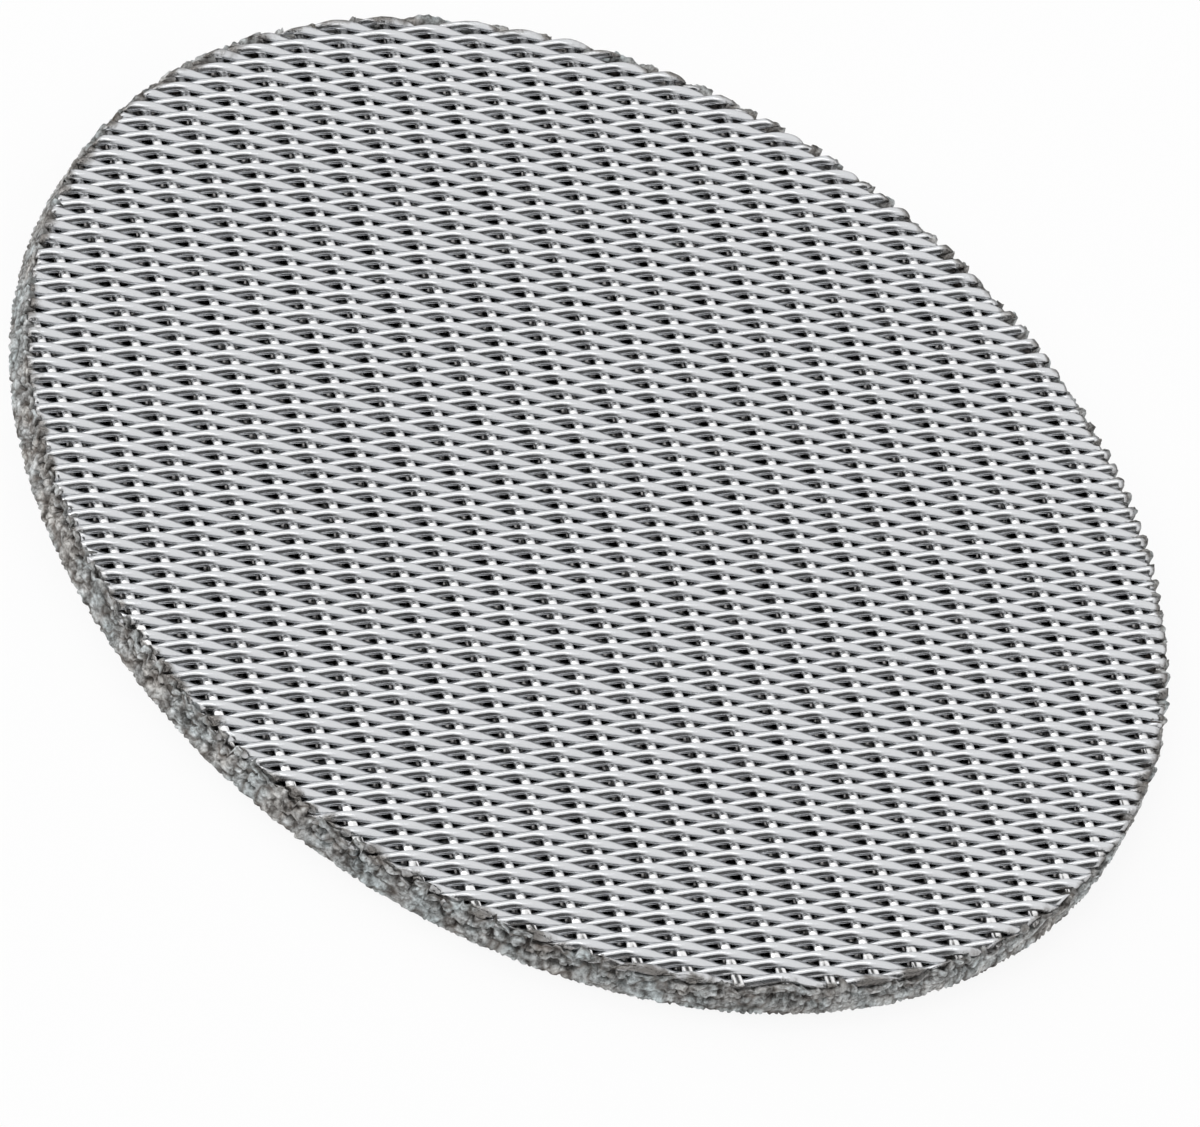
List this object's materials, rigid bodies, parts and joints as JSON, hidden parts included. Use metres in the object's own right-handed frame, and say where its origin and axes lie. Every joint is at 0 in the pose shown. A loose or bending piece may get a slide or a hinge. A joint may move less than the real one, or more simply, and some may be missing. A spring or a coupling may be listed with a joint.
{
  "type": "espresso puck screen",
  "caption": "Round sintered wire-mesh screen that lies on the coffee puck in an espresso basket and spreads the brewing water.",
  "frame": {"origin": "centre of the fine underside, on the plane that the disc lies on", "axes": "+Z out of the coarse woven face, +X along the weft wires of that face, +Y along its warp wires"},
  "size_m": [0.051, 0.051, 0.0017],
  "materials": {
    "sintered_mesh": "satin pressed and sintered stainless wire mesh, with a brown heat tint at the cut wire ends of the rim"
  },
  "bodies": {
    "root": {"puck_screen": "sintered_mesh"}
  },
  "joints": []
}
